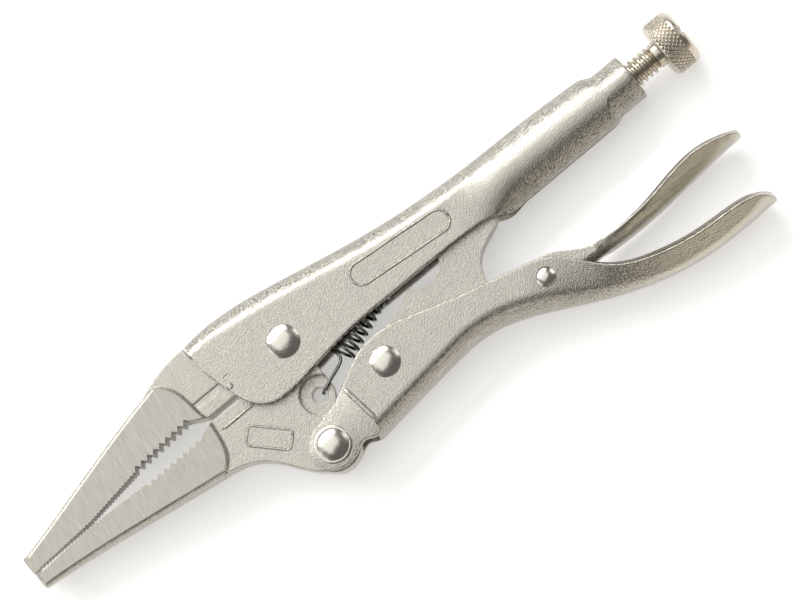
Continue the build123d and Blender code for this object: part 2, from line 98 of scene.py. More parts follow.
# Adjusting screw and knob
SCREW_Y = -2.8
THREAD_START = 44.3
THREAD_END = 77.4
THREAD_ROOT = 1.79
THREAD_HEIGHT = 0.6
COLLAR_START = 77.3
COLLAR_CORE = 2.0
COLLAR_EDGE = 0.3
KNOB_START = 78.4
KNOB_END = 83.6
KNOB_RADIUS = 5.1
KNOB_EDGE = 1.15
KNURL_COUNT = 36
KNURL_DEPTH = 0.3
SLOT_HALF = 0.55
CAP_START = 82.3

# Tension spring: its coil's start, lean, pitch, turns and radius
COIL_START = (5.6, -7.4)
COIL_LEAN = math.radians(19.8)
COIL_PITCH = 1.42
COIL_TURNS = 12
COIL_RADIUS = 2.0

# Jaws: the ground flats' half width at the main pivot and their taper towards the tip, the movable
# jaw's side face, the line where the two rows of teeth meet, how far the teeth reach from it and
# where they end, and the grinding lines' lean from straight across the tool
FLAT_HALF = 3.97
FLAT_SLOPE = 0.0458
JAW_FACE = 2.3
# MOUTH_Y, TEETH_REACH and TEETH_END also bound the painted shade on the teeth's flanks
MOUTH_Y = -2.2
TEETH_REACH = 2.4
TEETH_END = -20
WHEEL_LINES = -0.2

# Finish of the plate: size and depth of its grains, and where the grips start and end to be rubbed
GRAIN = 0.21
GRAIN_DEPTH = 0.22
RUBBED_START = 44
RUBBED_END = 57
BEAD_SUNK = 0.05        # a raised line's foot lies this far inside the face

# Camera, in metres: distance, and the width that it sees there
CAMERA_DISTANCE = 0.9
CAMERA_WIDTH = 0.132
SENSOR = 36             # mm

# Side-view outlines
HANDLE_BACK = [
    (-13.4, 10.3), (-8.5, 10.68), (0, 9.9), (10, 7.85), (20, 5.8), (30, 4.3), (40, 3.5), (52, 3.2),
    (66, 2.35), (73, 1.9),
]
HANDLE_EDGE = [
    (-13.4, 5), (-12.2, 0), (-10.6, -4.3), (-8, -6.6), (-5, -7.1), (2, -6.4), (10, -5.55),
    (20, -5.5), (32, -5.65), (39, -6.2), (46, -7.4), (73, -7.4),
]
LEVER_BACK = [
    (2.0, -22.5), (10, -21.6), (20, -20.65), (24, -20.45), (29, -21.1), (34, -22.9), (42, -27.0),
    (50, -30.7), (59.9, -33.6), (67.9, -34.4), (77.5, -34.3),
]
LEVER_EDGE = [
    (-0.5, -13.5), (3.5, -11.6), (8.5, -9.35), (12.5, -8.9), (16, -9.4), (20, -10.7), (30, -13.8),
    (38, -15.9), (42, -17.4), (46, -21.3), (50, -25.7), (56, -28.8), (63.8, -30.6), (70, -31.1),
    (74.5, -31.9), (77.5, -33.9), (78.5, -35.2),
]
RELEASE_BACK = [
    (35.2, -19.4), (39, -21.8), (44, -22.5), (49, -22.9), (55, -23.45), (62, -23.5), (70.9, -22.85),
    (79.8, -22.3),
]
RELEASE_EDGE = [
    (33.6, -17.6), (35.2, -16.6), (38, -16.2), (41, -16.4), (44, -17.5), (47, -19.5), (50, -20.7),
    (56, -21.3), (62, -20.9), (70, -19.75), (74.3, -20.0), (79.8, -21.9), (81, -22.4),
]


# Sizes and colours that a user would change

def linear(hex_colour):
    """sRGB hex to linear: c/12.92 in the toe, ((c+0.055)/1.055)^2.4 above it."""
    values = [int(hex_colour[i:i + 2], 16) / 255 for i in (1, 3, 5)]
    return tuple(v / 12.92 if v <= 0.04045 else ((v + 0.055) / 1.055) ** 2.4 for v in values)


class PLIERS_PG_sizes(bpy.types.PropertyGroup):
    width: FloatProperty(
        name="Channel width", description="Outside width of the handle and lever", default=0.0084,
        subtype="DISTANCE", unit="LENGTH")
    sheet: FloatProperty(
        name="Sheet", description="Thickness of the stamped sheet", default=0.0017,
        subtype="DISTANCE", unit="LENGTH")
    bend: FloatProperty(
        name="Bend radius", description="Outside radius of the handle's bends", default=0.0034,
        subtype="DISTANCE", unit="LENGTH")
    wire: FloatProperty(
        name="Spring wire", description="Diameter of the spring's wire", default=0.00056,
        subtype="DISTANCE", unit="LENGTH")
    pitch: FloatProperty(
        name="Thread pitch", description="Advance of the adjusting screw in one turn",
        default=0.001058, subtype="DISTANCE", unit="LENGTH")


class PLIERS_PG_finishes(bpy.types.PropertyGroup):
    nickel: FloatVectorProperty(
        name="Nickel", description="Satin nickel plate", default=linear("#BFBBB1"),
        subtype="COLOR", size=3, min=0, max=1)
    wire: FloatVectorProperty(
        name="Spring wire", description="Oil-blackened spring wire", default=linear("#868683"),
        subtype="COLOR", size=3, min=0, max=1)


# Curves and surfaces

def placed(points):
    """Drawing millimetres to metres in the frame: one thousandth, moved to the main pivot."""
    return np.asarray(points, float) * MM + np.array(PIVOT)


def spline(points, count):
    """Natural cubic through the points, the parameter being the chord length from the first."""
    pts = np.asarray(points, float)
    knots = np.concatenate([[0.0], np.cumsum(np.linalg.norm(np.diff(pts, axis=0), axis=1))])
    step = np.diff(knots)
    n = len(pts)
    system = np.eye(n)
    inner = np.arange(1, n - 1)
    system[inner, inner - 1] = step[:-1]
    system[inner, inner] = 2 * (step[:-1] + step[1:])
    system[inner, inner + 1] = step[1:]
    rise = np.diff(pts, axis=0) / step[:, None]
    right = np.zeros_like(pts)
    right[1:-1] = 6 * np.diff(rise, axis=0)
    bend = np.linalg.solve(system, right)
    at = np.linspace(0, knots[-1], count)
    span = np.clip(np.searchsorted(knots, at, side="right") - 1, 0, n - 2)
    h = step[span][:, None]
    a = (knots[span + 1] - at)[:, None]
    b = (at - knots[span])[:, None]
    return (bend[span] * a ** 3 + bend[span + 1] * b ** 3) / (6 * h) + (
        pts[span] / h - bend[span] * h / 6) * a + (pts[span + 1] / h - bend[span + 1] * h / 6) * b


def level(outline, x):
    """Height of an outline at each x, read off its smooth curve."""
    curve = spline(outline, 1200)
    return np.interp(x, curve[:, 0], curve[:, 1])


def ease(x):
    """Smooth step: 3t^2 - 2t^3 for t clipped to 0..1."""
    t = np.clip(x, 0, 1)
    return t * t * (3 - 2 * t)


def grid_faces(rows, columns, start):
    """Quads of a grid whose columns close on themselves."""
    i, j = np.meshgrid(np.arange(rows - 1), np.arange(columns), indexing="ij")
    k = (j + 1) % columns
    here, beyond = i * columns, (i + 1) * columns
    quads = np.stack([here + j, here + k, beyond + k, beyond + j], -1)
    return quads.reshape(-1, 4) + start


def solid(name, grids, sharp=35):
    """One mesh from loops of points (stations, points round, 3), closed by a face at both ends."""
    vertices = []
    faces = []
    start = 0
    for grid in grids:
        rows, columns = grid.shape[:2]
        vertices.append(grid.reshape(-1, 3))
        faces += grid_faces(rows, columns, start).tolist()
        faces.append((np.arange(columns) + start)[::-1].tolist())
        faces.append((np.arange(columns) + start + (rows - 1) * columns).tolist())
        start += rows * columns
    mesh = bpy.data.meshes.new(name)
    mesh.from_pydata(np.concatenate(vertices).tolist(), [], faces)
    shell = bmesh.new()
    shell.from_mesh(mesh)
    bmesh.ops.remove_doubles(shell, verts=shell.verts, dist=1e-7)
    bmesh.ops.recalc_face_normals(shell, faces=shell.faces)
    shell.to_mesh(mesh)
    shell.free()
    mesh.shade_smooth()
    mesh.set_sharp_from_angle(angle=math.radians(sharp))
    thing = bpy.data.objects.new(name, mesh)
    bpy.context.scene.collection.objects.link(thing)
    return thing


def channel_loops(base, inward, flat, turns, sheet):
    """Bent-sheet sections carried along a path.

    From the middle of the back, half a section runs flat and then through (length, turn) pieces.
    Its heading is the sum of the turns gone through, and its line is the running sum of the
    heading's cosine and sine. The inside is the same line moved by the sheet's thickness along its
    normal, and the wall's edge is rounded.
    """
    edge = SHEET_EDGE
    total = flat + sum(length for length, _ in turns)
    s = (total - edge) * np.linspace(0, 1, 901)[None, :]
    heading = 0 * s
    start = flat
    for length, turn in turns:
        heading = heading + turn * np.clip((s - start) / np.maximum(length, 1e-6), 0, 1)
        start = start + length
    step = np.diff(s, axis=1)
    middle = (heading[:, 1:] + heading[:, :-1]) / 2
    z = np.concatenate([0 * flat, np.cumsum(np.cos(middle) * step, axis=1)], axis=1)[:, ::20]
    h = np.concatenate([0 * flat, np.cumsum(np.sin(middle) * step, axis=1)], axis=1)[:, ::20]
    heading = heading[:, ::20]
    zi = z - sheet * np.sin(heading)
    hi = h + sheet * np.cos(heading)
    ze, he, end = z[:, -1:], h[:, -1:], heading[:, -1:]
    turn = np.linspace(0, math.pi / 2, 5)[None, :]
    ahead = edge * np.sin(turn)
    down = edge * (1 - np.cos(turn))
    ahead = np.concatenate([ahead[:, 1:], ahead[:, ::-1][:, :-1]], axis=1)
    down = np.concatenate([down[:, 1:] + 0 * ze, sheet - down[:, ::-1][:, :-1]], axis=1)
    z_edge = ze + ahead * np.cos(end) - down * np.sin(end)
    h_edge = he + ahead * np.sin(end) + down * np.cos(end)
    half_z = np.concatenate([z, z_edge, zi[:, ::-1]], axis=1)
    half_h = np.concatenate([h, h_edge, hi[:, ::-1]], axis=1)
    loop_z = np.concatenate([half_z, -half_z[:, -2:0:-1]], axis=1)
    loop_h = np.concatenate([half_h, half_h[:, -2:0:-1]], axis=1)
    points = np.empty(loop_z.shape + (3,))
    points[..., 0] = base[:, :1] + loop_h * inward[:, :1]
    points[..., 1] = base[:, 1:] + loop_h * inward[:, 1:]
    points[..., 2] = loop_z
    return placed(points)


def wall_height(base, along, inward, outline):
    """Distance along each station's inward normal to where an outline crosses it."""
    curve = spline(outline, 3000)
    offset = curve[None] - base[:, None]
    across = (offset * along[:, None]).sum(-1)
    up = (offset * inward[:, None]).sum(-1)
    nearest = np.abs(across).argmin(1)
    rows = np.arange(len(base))
    slope = np.gradient(up, axis=1)[rows, nearest] / np.gradient(across, axis=1)[rows, nearest]
    return (up[rows, nearest] - slope * across[rows, nearest])[:, None]


def frames_along(path):
    """Unit tangent of a plane path and its normal, a quarter turn to the left."""
    along = np.gradient(path, axis=0)
    along = along / np.linalg.norm(along, axis=1)[:, None]
    return along, np.stack([-along[:, 1], along[:, 0]], axis=1)


def turned(profile, centre, direction, count=64):
    """Surface of revolution: (distance along the axis, radius) pairs turned about the axis."""
    profile = np.asarray(profile, float)
    angle = np.linspace(0, 2 * math.pi, count, endpoint=False)
    axis = np.asarray(direction, float)
    side = np.array([0.0, 1.0, 0.0]) if abs(axis[1]) < 0.5 else np.array([1.0, 0.0, 0.0])
    other = np.cross(axis, side)
    ring = np.cos(angle)[:, None] * side + np.sin(angle)[:, None] * other
    points = np.asarray(centre, float) + profile[:, 0][:, None, None] * axis
    return placed(points + profile[:, 1][:, None, None] * ring[None])


# Finishes

def add(tree, kind, settings=(), **inputs):
    """Adds one node; settings are its attributes, and inputs are values or sockets by name."""
    node = tree.nodes.new(kind)
    for key, value in dict(settings).items():
        setattr(node, key, value)
    for key, value in inputs.items():
        socket = node.inputs[int(key[1:])] if key[0] == "i" and key[1:].isdigit() else node.inputs[
            key.replace("_", " ")]
        if isinstance(value, bpy.types.NodeSocket):
            tree.links.new(value, socket)
        else:
            socket.default_value = value
    return node


def fresh(name):
    """Empty material with its tree, metal surface and texture coordinates."""
    material = bpy.data.materials.new(name)
    material.use_nodes = True
    tree = material.node_tree
    tree.nodes.clear()
    surface = add(tree, "ShaderNodeBsdfPrincipled", Metallic=1.0)
    add(tree, "ShaderNodeOutputMaterial", Surface=surface.outputs["BSDF"])
    return material, tree, surface, add(tree, "ShaderNodeTexCoord")


# dark sets how deep the painted shade in the grains' hollows on bent faces goes
def blasted_nickel(name, rough, dark, ground=False, grips=False):
    """Nickel plate over tumbled and blasted steel: a soft sheen broken by fine grains that glint.

    Where the steel is bent or drawn its skin has opened to orange peel, so the grains are deeper,
    and there the grains' hollows are also darkened in colour: a painted shade on the bends. The
    levers' grips are tumbled smooth, with shallower grains and less of that painted shade. On the
    jaws it also covers the ground flats, where the wheel leaves fine lines across the nose, and the
    forging's edges are rounded. Near the line where the jaws meet, the steep flanks of the teeth
    are darkened in colour: a painted shade between the shut jaws.
    """
    material, tree, surface, place = fresh(name)
    colour = tuple(bpy.context.scene.pliers_finishes.nickel)
    where = place.outputs["Object"]
    fine = add(
        tree, "ShaderNodeTexNoise", Vector=where, Scale=1 / (GRAIN * MM), Detail=1.5, Roughness=0.6)
    broad = add(tree, "ShaderNodeTexNoise", Vector=where, Scale=1 / (3.5 * MM), Detail=2.0)
    facing = add(tree, "ShaderNodeSeparateXYZ", Vector=place.outputs["Normal"])
    level_side = add(tree, "ShaderNodeMath", {"operation": "ABSOLUTE"}, i0=facing.outputs["Z"])
    bent = add(
        tree, "ShaderNodeMapRange", {"interpolation_type": "SMOOTHSTEP"},
        Value=level_side.outputs[0], From_Min=0.99, From_Max=0.84).outputs[0]
    at = add(tree, "ShaderNodeSeparateXYZ", Vector=where)
    if grips:
        # On the grips the painted shade eases off, along with the grains' depth
        rubbed = add(
            tree, "ShaderNodeMapRange", Value=at.outputs["X"],
            From_Min=PIVOT[0] + RUBBED_START * MM, From_Max=PIVOT[0] + RUBBED_END * MM, To_Min=1.0,
            To_Max=0.12)
        bent = add(
            tree, "ShaderNodeMath", {"operation": "MULTIPLY"}, i0=bent,
            i1=rubbed.outputs[0]).outputs[0]
    lift = add(tree, "ShaderNodeMapRange", Value=bent, To_Min=0.38, To_Max=1.0)
    grains = add(
        tree, "ShaderNodeBump", Height=fine.outputs["Fac"], Strength=lift.outputs[0],
        Distance=GRAIN_DEPTH * MM)
    speck = add(
        tree, "ShaderNodeMapRange", Value=fine.outputs["Fac"], From_Min=0.3, From_Max=0.7,
        To_Max=0.6)
    tone = add(
        tree, "ShaderNodeMath", {"operation": "MULTIPLY_ADD"}, i0=broad.outputs["Fac"], i1=0.3,
        i2=speck.outputs[0])
    # Painted shade: where the face is bent, the grains' hollows are darkened in colour, standing in
    # for the dark surroundings that the bends mirror
    painted_pit_shade = add(
        tree, "ShaderNodeMapRange", Value=fine.outputs["Fac"], From_Min=0.52, From_Max=0.38,
        To_Max=-dark)
    tone = add(
        tree, "ShaderNodeMath", {"operation": "MULTIPLY_ADD"}, i0=bent, i1=painted_pit_shade.outputs[0],
        i2=tone.outputs[0]).outputs[0]
    normal = grains.outputs["Normal"]
    rest = add(
        tree, "ShaderNodeMath", {"operation": "MULTIPLY_ADD"}, i0=broad.outputs["Fac"], i1=0.08,
        i2=rough - 0.04).outputs[0]
    if ground:
        edges = add(tree, "ShaderNodeBevel", {"samples": 4}, Radius=0.4 * MM)
        tree.links.new(edges.outputs[0], grains.inputs["Normal"])
        across = add(
            tree, "ShaderNodeMapping", {"vector_type": "TEXTURE"}, Vector=where, Scale=(1, 24, 1),
            Rotation=(0, 0, WHEEL_LINES))
        lines = add(
            tree, "ShaderNodeTexNoise", Vector=across.outputs[0], Scale=1 / (0.12 * MM), Detail=2.0)
        streak = add(
            tree, "ShaderNodeMapRange", Value=lines.outputs["Fac"], From_Min=0.3, From_Max=0.75,
            To_Min=-0.3, To_Max=0.45)
        cut = add(
            tree, "ShaderNodeBump", Height=lines.outputs["Fac"], Strength=1.0, Distance=0.03 * MM)
        side = add(
            tree, "ShaderNodeMath", {"operation": "SUBTRACT"}, i0=at.outputs["Z"], i1=PIVOT[2])
        out = add(tree, "ShaderNodeMath", {"operation": "ABSOLUTE"}, i0=side.outputs[0])
        flat = add(
            tree, "ShaderNodeMath", {"operation": "MULTIPLY_ADD"}, i0=at.outputs["X"],
            i1=FLAT_SLOPE, i2=FLAT_HALF * MM - PIVOT[0] * FLAT_SLOPE)
        mask = add(
            tree, "ShaderNodeMath", {"operation": "GREATER_THAN"}, i0=out.outputs[0],
            i1=flat.outputs[0]).outputs[0]
        normal = add(
            tree, "ShaderNodeMix", {"data_type": "VECTOR"}, i0=mask, i4=normal,
            i5=cut.outputs["Normal"]).outputs[1]
        tone = add(
            tree, "ShaderNodeMix", {"data_type": "FLOAT"}, i0=mask, i2=tone,
            i3=streak.outputs[0]).outputs[0]
        rest = add(
            tree, "ShaderNodeMath", {"operation": "MULTIPLY_ADD"}, i0=mask, i1=0.14,
            i2=rest).outputs[0]
        # Painted shade: near the line where the jaws meet, the teeth's steep flanks are darkened in
        # colour, where shade falls between the shut jaws
        steep = add(
            tree, "ShaderNodeMapRange", Value=level_side.outputs[0], From_Min=0.6, From_Max=0.3,
            To_Max=-1.7)
        away = add(
            tree, "ShaderNodeMath", {"operation": "SUBTRACT"}, i0=at.outputs["Y"],
            i1=PIVOT[1] + MOUTH_Y * MM)
        away = add(tree, "ShaderNodeMath", {"operation": "ABSOLUTE"}, i0=away.outputs[0])
        near = add(
            tree, "ShaderNodeMapRange", Value=away.outputs[0], From_Min=(TEETH_REACH + 0.5) * MM,
            From_Max=TEETH_REACH * MM)
        ahead = add(
            tree, "ShaderNodeMapRange", Value=at.outputs["X"], From_Min=PIVOT[0] + TEETH_END * MM,
            From_Max=PIVOT[0] + (TEETH_END - 0.6) * MM)
        teeth = add(
            tree, "ShaderNodeMath", {"operation": "MULTIPLY"}, i0=near.outputs[0],
            i1=ahead.outputs[0])
        tone = add(
            tree, "ShaderNodeMath", {"operation": "MULTIPLY_ADD"}, i0=steep.outputs[0],
            i1=teeth.outputs[0], i2=tone).outputs[0]
    tint = add(
        tree, "ShaderNodeMix", {"data_type": "RGBA", "clamp_factor": False}, i0=tone,
        i6=(*[c * 0.84 for c in colour], 1), i7=(*[min(c * 1.2, 1) for c in colour], 1))
    tree.links.new(tint.outputs[2], surface.inputs["Base Color"])
    tree.links.new(rest, surface.inputs["Roughness"])
    tree.links.new(normal, surface.inputs["Normal"])
    return material


def polished_nickel():
    """Nickel over a formed rivet head: close to a mirror, with slight waves from the punch."""
    material, tree, surface, place = fresh("polished_nickel_rivet")
    wave = add(
        tree, "ShaderNodeTexNoise", Vector=place.outputs["Object"], Scale=1 / (1.2 * MM),
        Detail=3.0)
    bump = add(tree, "ShaderNodeBump", Height=wave.outputs["Fac"], Strength=1.0, Distance=0.05 * MM)
    gloss = add(tree, "ShaderNodeMapRange", Value=wave.outputs["Fac"], To_Min=0.2, To_Max=0.32)
    surface.inputs["Base Color"].default_value = (*linear("#CFCCC2"), 1)
    tree.links.new(gloss.outputs["Result"], surface.inputs["Roughness"])
    tree.links.new(bump.outputs["Normal"], surface.inputs["Normal"])
    return material


def rolled_screw_steel():
    """Nickel over a rolled thread and knurl: warmer and smoother than the sheet."""
    material, tree, surface, place = fresh("rolled_nickel_screw")
    wave = add(
        tree, "ShaderNodeTexNoise", Vector=place.outputs["Object"], Scale=1 / (0.5 * MM),
        Detail=2.0)
    bump = add(tree, "ShaderNodeBump", Height=wave.outputs["Fac"], Strength=1.0, Distance=0.02 * MM)
    tint = add(
        tree, "ShaderNodeMix", {"data_type": "RGBA"}, i0=wave.outputs["Fac"],
        i6=(*linear("#B9B0A0"), 1), i7=(*linear("#DAD4C8"), 1))
    surface.inputs["Roughness"].default_value = 0.3
    tree.links.new(tint.outputs[2], surface.inputs["Base Color"])
    tree.links.new(bump.outputs["Normal"], surface.inputs["Normal"])
    return material


def blackened_wire(colour):
    """Oil-blackened music wire: dark, with a drawn-wire shine and faint lighter patches."""
    material, tree, surface, place = fresh("blackened_spring_wire")
    patch = add(
        tree, "ShaderNodeTexNoise", Vector=place.outputs["Object"], Scale=1 / (0.9 * MM),
        Detail=2.0)
    tint = add(
        tree, "ShaderNodeMix", {"data_type": "RGBA"}, i0=patch.outputs["Fac"],
        i6=(*[c * 0.5 for c in colour], 1), i7=(*[min(c * 1.6, 1) for c in colour], 1))
    gloss = add(tree, "ShaderNodeMapRange", Value=patch.outputs["Fac"], To_Min=0.14, To_Max=0.28)
    tree.links.new(tint.outputs[2], surface.inputs["Base Color"])
    tree.links.new(gloss.outputs["Result"], surface.inputs["Roughness"])
    return material


def dress(thing, *materials):
    thing.data.materials.clear()
    for material in materials:
        thing.data.materials.append(material)


def finish(title, maker, **values):
    """A finish that several pieces share is made once."""
    return bpy.data.materials.get(title) or maker(**values)


def sheet_nickel():
    title = "blasted_nickel_sheet"
    return finish(title, blasted_nickel, name=title, rough=0.21, dark=1.9)


def lever_nickel():
    title = "blasted_nickel_levers"
    return finish(title, blasted_nickel, name=title, rough=0.21, dark=1.3, grips=True)


def forged_nickel():
    title = "blasted_nickel_forging"
    return finish(title, blasted_nickel, name=title, rough=0.2, dark=0.4, ground=True)


# Pieces

def handle_mesh(sizes):
    """Channel whose walls curl in to a tube behind the lever and shrink to the round barrel."""
    half = sizes.width / MM / 2
    sheet = sizes.sheet / MM
    bend0 = sizes.bend / MM
    x = np.concatenate([
        np.linspace(-13.4, -12.3, 10), np.linspace(-12.1, -5, 34), np.linspace(-4.7, 38, 90),
        np.linspace(38.4, 64.6, 76), np.linspace(64.8, 67.6, 24), np.linspace(67.9, 72.15, 8),
        [72.25, 72.33, 72.38, BARREL_END],
    ])[:, None]
    curl = ease((x - 38.5) / 7.5)
    round_off = ease((x - 64.9) / 2.5)
    crown = TAIL_CROWN * ease((x - 34) / 14) * (1 - round_off) + 1e-4
    lip_gap = LIP_GAP * (1 - 0.9 * round_off)
    corner = np.clip(BARREL_EDGE - (BARREL_END - x), 0, BARREL_EDGE)
    shave = BARREL_EDGE - np.sqrt(np.maximum(BARREL_EDGE ** 2 - corner ** 2, 0))
    reach = half - shave
    top = level(HANDLE_BACK, x) * (1 - round_off) + (SCREW_Y + reach) * round_off
    tail_low = TAIL_LOW * (1 - round_off) + (SCREW_Y - reach) * round_off
    rounder = ease((x - 34) / 14)
    sharper = FRONT_BEND + (bend0 - FRONT_BEND) * ease((x + 13) / 9) + 0.4 * rounder
    bend = sharper * (1 - round_off) + reach * round_off
    low = LOW_BEND * (1 - round_off) + reach * round_off
    foot = level(HANDLE_EDGE, x) * (1 - curl) + tail_low * curl
    turn = curl * (math.pi / 2 - crown)
    used = (bend + low * curl) * (1 - np.sin(crown))
    wall = np.maximum(top - foot - used, 0) * crown / np.sin(crown)
    spread = wall * (1 - np.cos(crown)) / (2 * crown)
    flat = np.maximum(reach - bend * np.cos(crown) - spread, 0.01)
    lip = np.maximum(reach - low * np.cos(crown) - spread - lip_gap, 0) * curl
    base = np.concatenate([x, top], axis=1)
    inward = np.concatenate([0 * x, 0 * x - 1], axis=1)
    sweep = math.pi / 2 - crown
    turns = [(bend * sweep, sweep), (wall, 2 * crown), (low * turn, turn), (lip, 0)]
    return [channel_loops(base, inward, flat, turns, sheet + 0 * x)]


def grip_turns(reach, height, flat, sweep):
    """Arc and straight wall that end at reach across and height up.

    With R the arc's radius and L the wall's length, R sin s + L cos s = reach - flat and
    R (1 - cos s) + L sin s = height. Where the wall would vanish, the arc alone gives the height.
    """
    across = reach - flat
    radius = (across * np.sin(sweep) - height * np.cos(sweep)) / (1 - np.cos(sweep))
    wall = (height * np.sin(sweep) - across * (1 - np.cos(sweep))) / (1 - np.cos(sweep))
    short = wall < 0.02
    radius = np.maximum(np.where(short, np.maximum(height, 0.3) / (1 - np.cos(sweep)), radius), 0.6)
    wall = np.where(short, 0.02, wall)
    flat = np.maximum(reach - radius * np.sin(sweep) - wall * np.cos(sweep), 0.05)
    return flat, [(radius * sweep, sweep), (wall, 0)]


def lever_meshes(sizes):
    """S-bent channel whose walls lean out into a dished grip, and ears that straddle the jaw."""
    half = sizes.width / MM / 2
    sheet = sizes.sheet / MM
    path = spline(LEVER_BACK, 240)
    along, inward = frames_along(path)
    height = wall_height(path, along, inward, LEVER_EDGE)
    x = path[:, :1]
    sweep = math.pi / 2 - GRIP_LEAN * ease((x - 34) / 24)
    tip = np.clip((x - 74.6) / 2.95, 0, 1)
    reach = half - 2.6 * (1 - np.sqrt(1 - tip ** 2))
    flat, turns = grip_turns(reach, height, 1.5 - 1.1 * ease((x - 12) / 34), sweep)
    body = channel_loops(path, inward, flat, turns, sheet + 0 * x)
    return [body] + [ear_loops(side, half, sheet) for side in (1, -1)]


def ear_loops(side, half, sheet):
    """Flat plate round the jaw rivet: rounded slices between its lower and upper outlines."""
    cx, cy = JAW_RIVET
    radius = EAR_RADIUS
    x = np.concatenate([
        cx - radius * np.cos(np.linspace(0.03, math.pi / 2, 26)), np.linspace(-4.3, 3.0, 26)])
    circle = np.sqrt(np.maximum(radius ** 2 - (x - cx) ** 2, 0))
    upper = spline([(cx, cy + radius), (-2.5, -13.95), (-0.5, -13.5), (3.5, -11.6)], 300)
    lower = spline([
        (cx, cy - radius), (-2.6, -22.3), (-1, -21.5), (0.2, -21.35), (1.3, -21.9), (3.2, -22.0),
    ], 300)
    top = np.where(x < cx, cy + circle, np.interp(x, upper[:, 0], upper[:, 1]))
    low = np.where(x < cx, cy - circle, np.interp(x, lower[:, 0], lower[:, 1]))
    edge = np.minimum(SHEET_EDGE, (top - low) / 4)[:, None]
    turn = np.linspace(0, math.pi / 2, 5)[None, :]
    outside = half + 0.05
    inside = half - sheet
    y_top = top[:, None] - edge * (1 - np.sin(turn))
    z_top = outside - edge * (1 - np.cos(turn))
    y_low = low[:, None] + edge * (1 - np.cos(turn))
    z_low = outside - edge * (1 - np.sin(turn))
    ys = np.concatenate([low[:, None], y_low, y_top, top[:, None]], axis=1)
    foot = 0 * low[:, None] + inside
    zs = np.concatenate([foot, z_low, z_top, foot], axis=1)
    points = np.stack([np.repeat(x[:, None], ys.shape[1], 1), ys, side * zs], axis=-1)
    return placed(points)


def release_mesh():
    """Narrow channel between the lever's walls that widens to a dished finger grip."""
    path = spline(RELEASE_BACK, 170)
    along, inward = frames_along(path)
    height = wall_height(path, along, inward, RELEASE_EDGE)
    x = path[:, :1]
    wide = ease((x - 48.6) / 3)
    tip = np.clip((x - 77.4) / 2.45, 0, 1)
    reach = RELEASE_NARROW * (1 - wide) + RELEASE_WIDE * wide - 2.0 * (1 - np.sqrt(1 - tip ** 2))
    sweep = math.pi / 2 - GRIP_LEAN * ease((x - 49) / 16)
    flat, turns = grip_turns(reach, height, 0.8 - 0.4 * wide, sweep)
    return [channel_loops(path, inward, flat, turns, RELEASE_SHEET + 0 * x)]


def dome(head, height, seat, count=18):
    """Low head: height falls as the 2.3rd power of the radius, so it is steep at the rim only."""
    share = np.sin(np.linspace(math.pi / 2, 0.015, count))
    return np.stack([seat + height * (1 - share ** 2.3), head * share], axis=1)


def rivet_loops(centre, shank, head, height, gap, half, collar=0.0):
    """Rivet turned about its axis: a dome with a rounded rim at each end of a plain shank."""
    seat = half + gap
    cap = dome(head - 0.12, height - 0.2, seat + 0.2)
    rim = [(seat, shank), (seat, head - 0.08), (seat + 0.06, head), (seat + 0.14, head - 0.03)]
    if collar:
        rim = [
            (seat, shank), (seat, collar - 0.05), (seat + 0.06, collar),
            (seat + 0.12, collar - 0.08), (seat + 0.14, head + 0.08), (seat + 0.1, head + 0.02),
            (seat + 0.16, head - 0.03),
        ]
    one_end = np.concatenate([rim, cap])
    other = one_end[::-1] * np.array([-1, 1])
    profile = np.concatenate([other, one_end])
    return turned(profile, (centre[0], centre[1], 0), (0, 0, 1), 72)


def thread_loops(sizes):
    """Helical thread: radius is the root plus a trapezoid of x over the pitch less the turn."""
    pitch = sizes.pitch / MM
    angle = np.linspace(0, 2 * math.pi, 48, endpoint=False)[None, :]
    x = np.concatenate([np.linspace(THREAD_START, 77.2, 400), [77.3, THREAD_END]])[:, None]
    phase = (x / pitch - angle / (2 * math.pi)) % 1
    tooth = np.clip(1.5 - 3.7 * np.abs(phase - 0.5), 0, 1)
    fade = ease((THREAD_END - x) / 0.6) * ease((x - THREAD_START) / 1.4)
    radius = THREAD_ROOT + THREAD_HEIGHT * tooth * fade - 0.25 * ease((44.8 - x) / 0.5)
    return round_screw(x, angle, radius)


def round_screw(x, angle, radius):
    """Points at each x and angle round the screw's axis."""
    return placed(np.stack(
        [x + 0 * angle, SCREW_Y + radius * np.cos(angle), radius * np.sin(angle)], axis=-1))


def collar_loops():
    """Plain collar between thread and knob, its corner rounded as a quarter circle."""
    turn = np.linspace(0, math.pi / 2, 6)
    profile = np.stack([
        COLLAR_START + COLLAR_EDGE * (1 - np.cos(turn)), COLLAR_CORE + COLLAR_EDGE * np.sin(turn),
    ], axis=1)
    foot = [(78.45, COLLAR_CORE + COLLAR_EDGE), (78.6, 2.45)]
    profile = np.concatenate([[(COLLAR_START, 1.2)], profile, foot])
    return turned(profile, (0, SCREW_Y, 0), (1, 0, 0), 56)


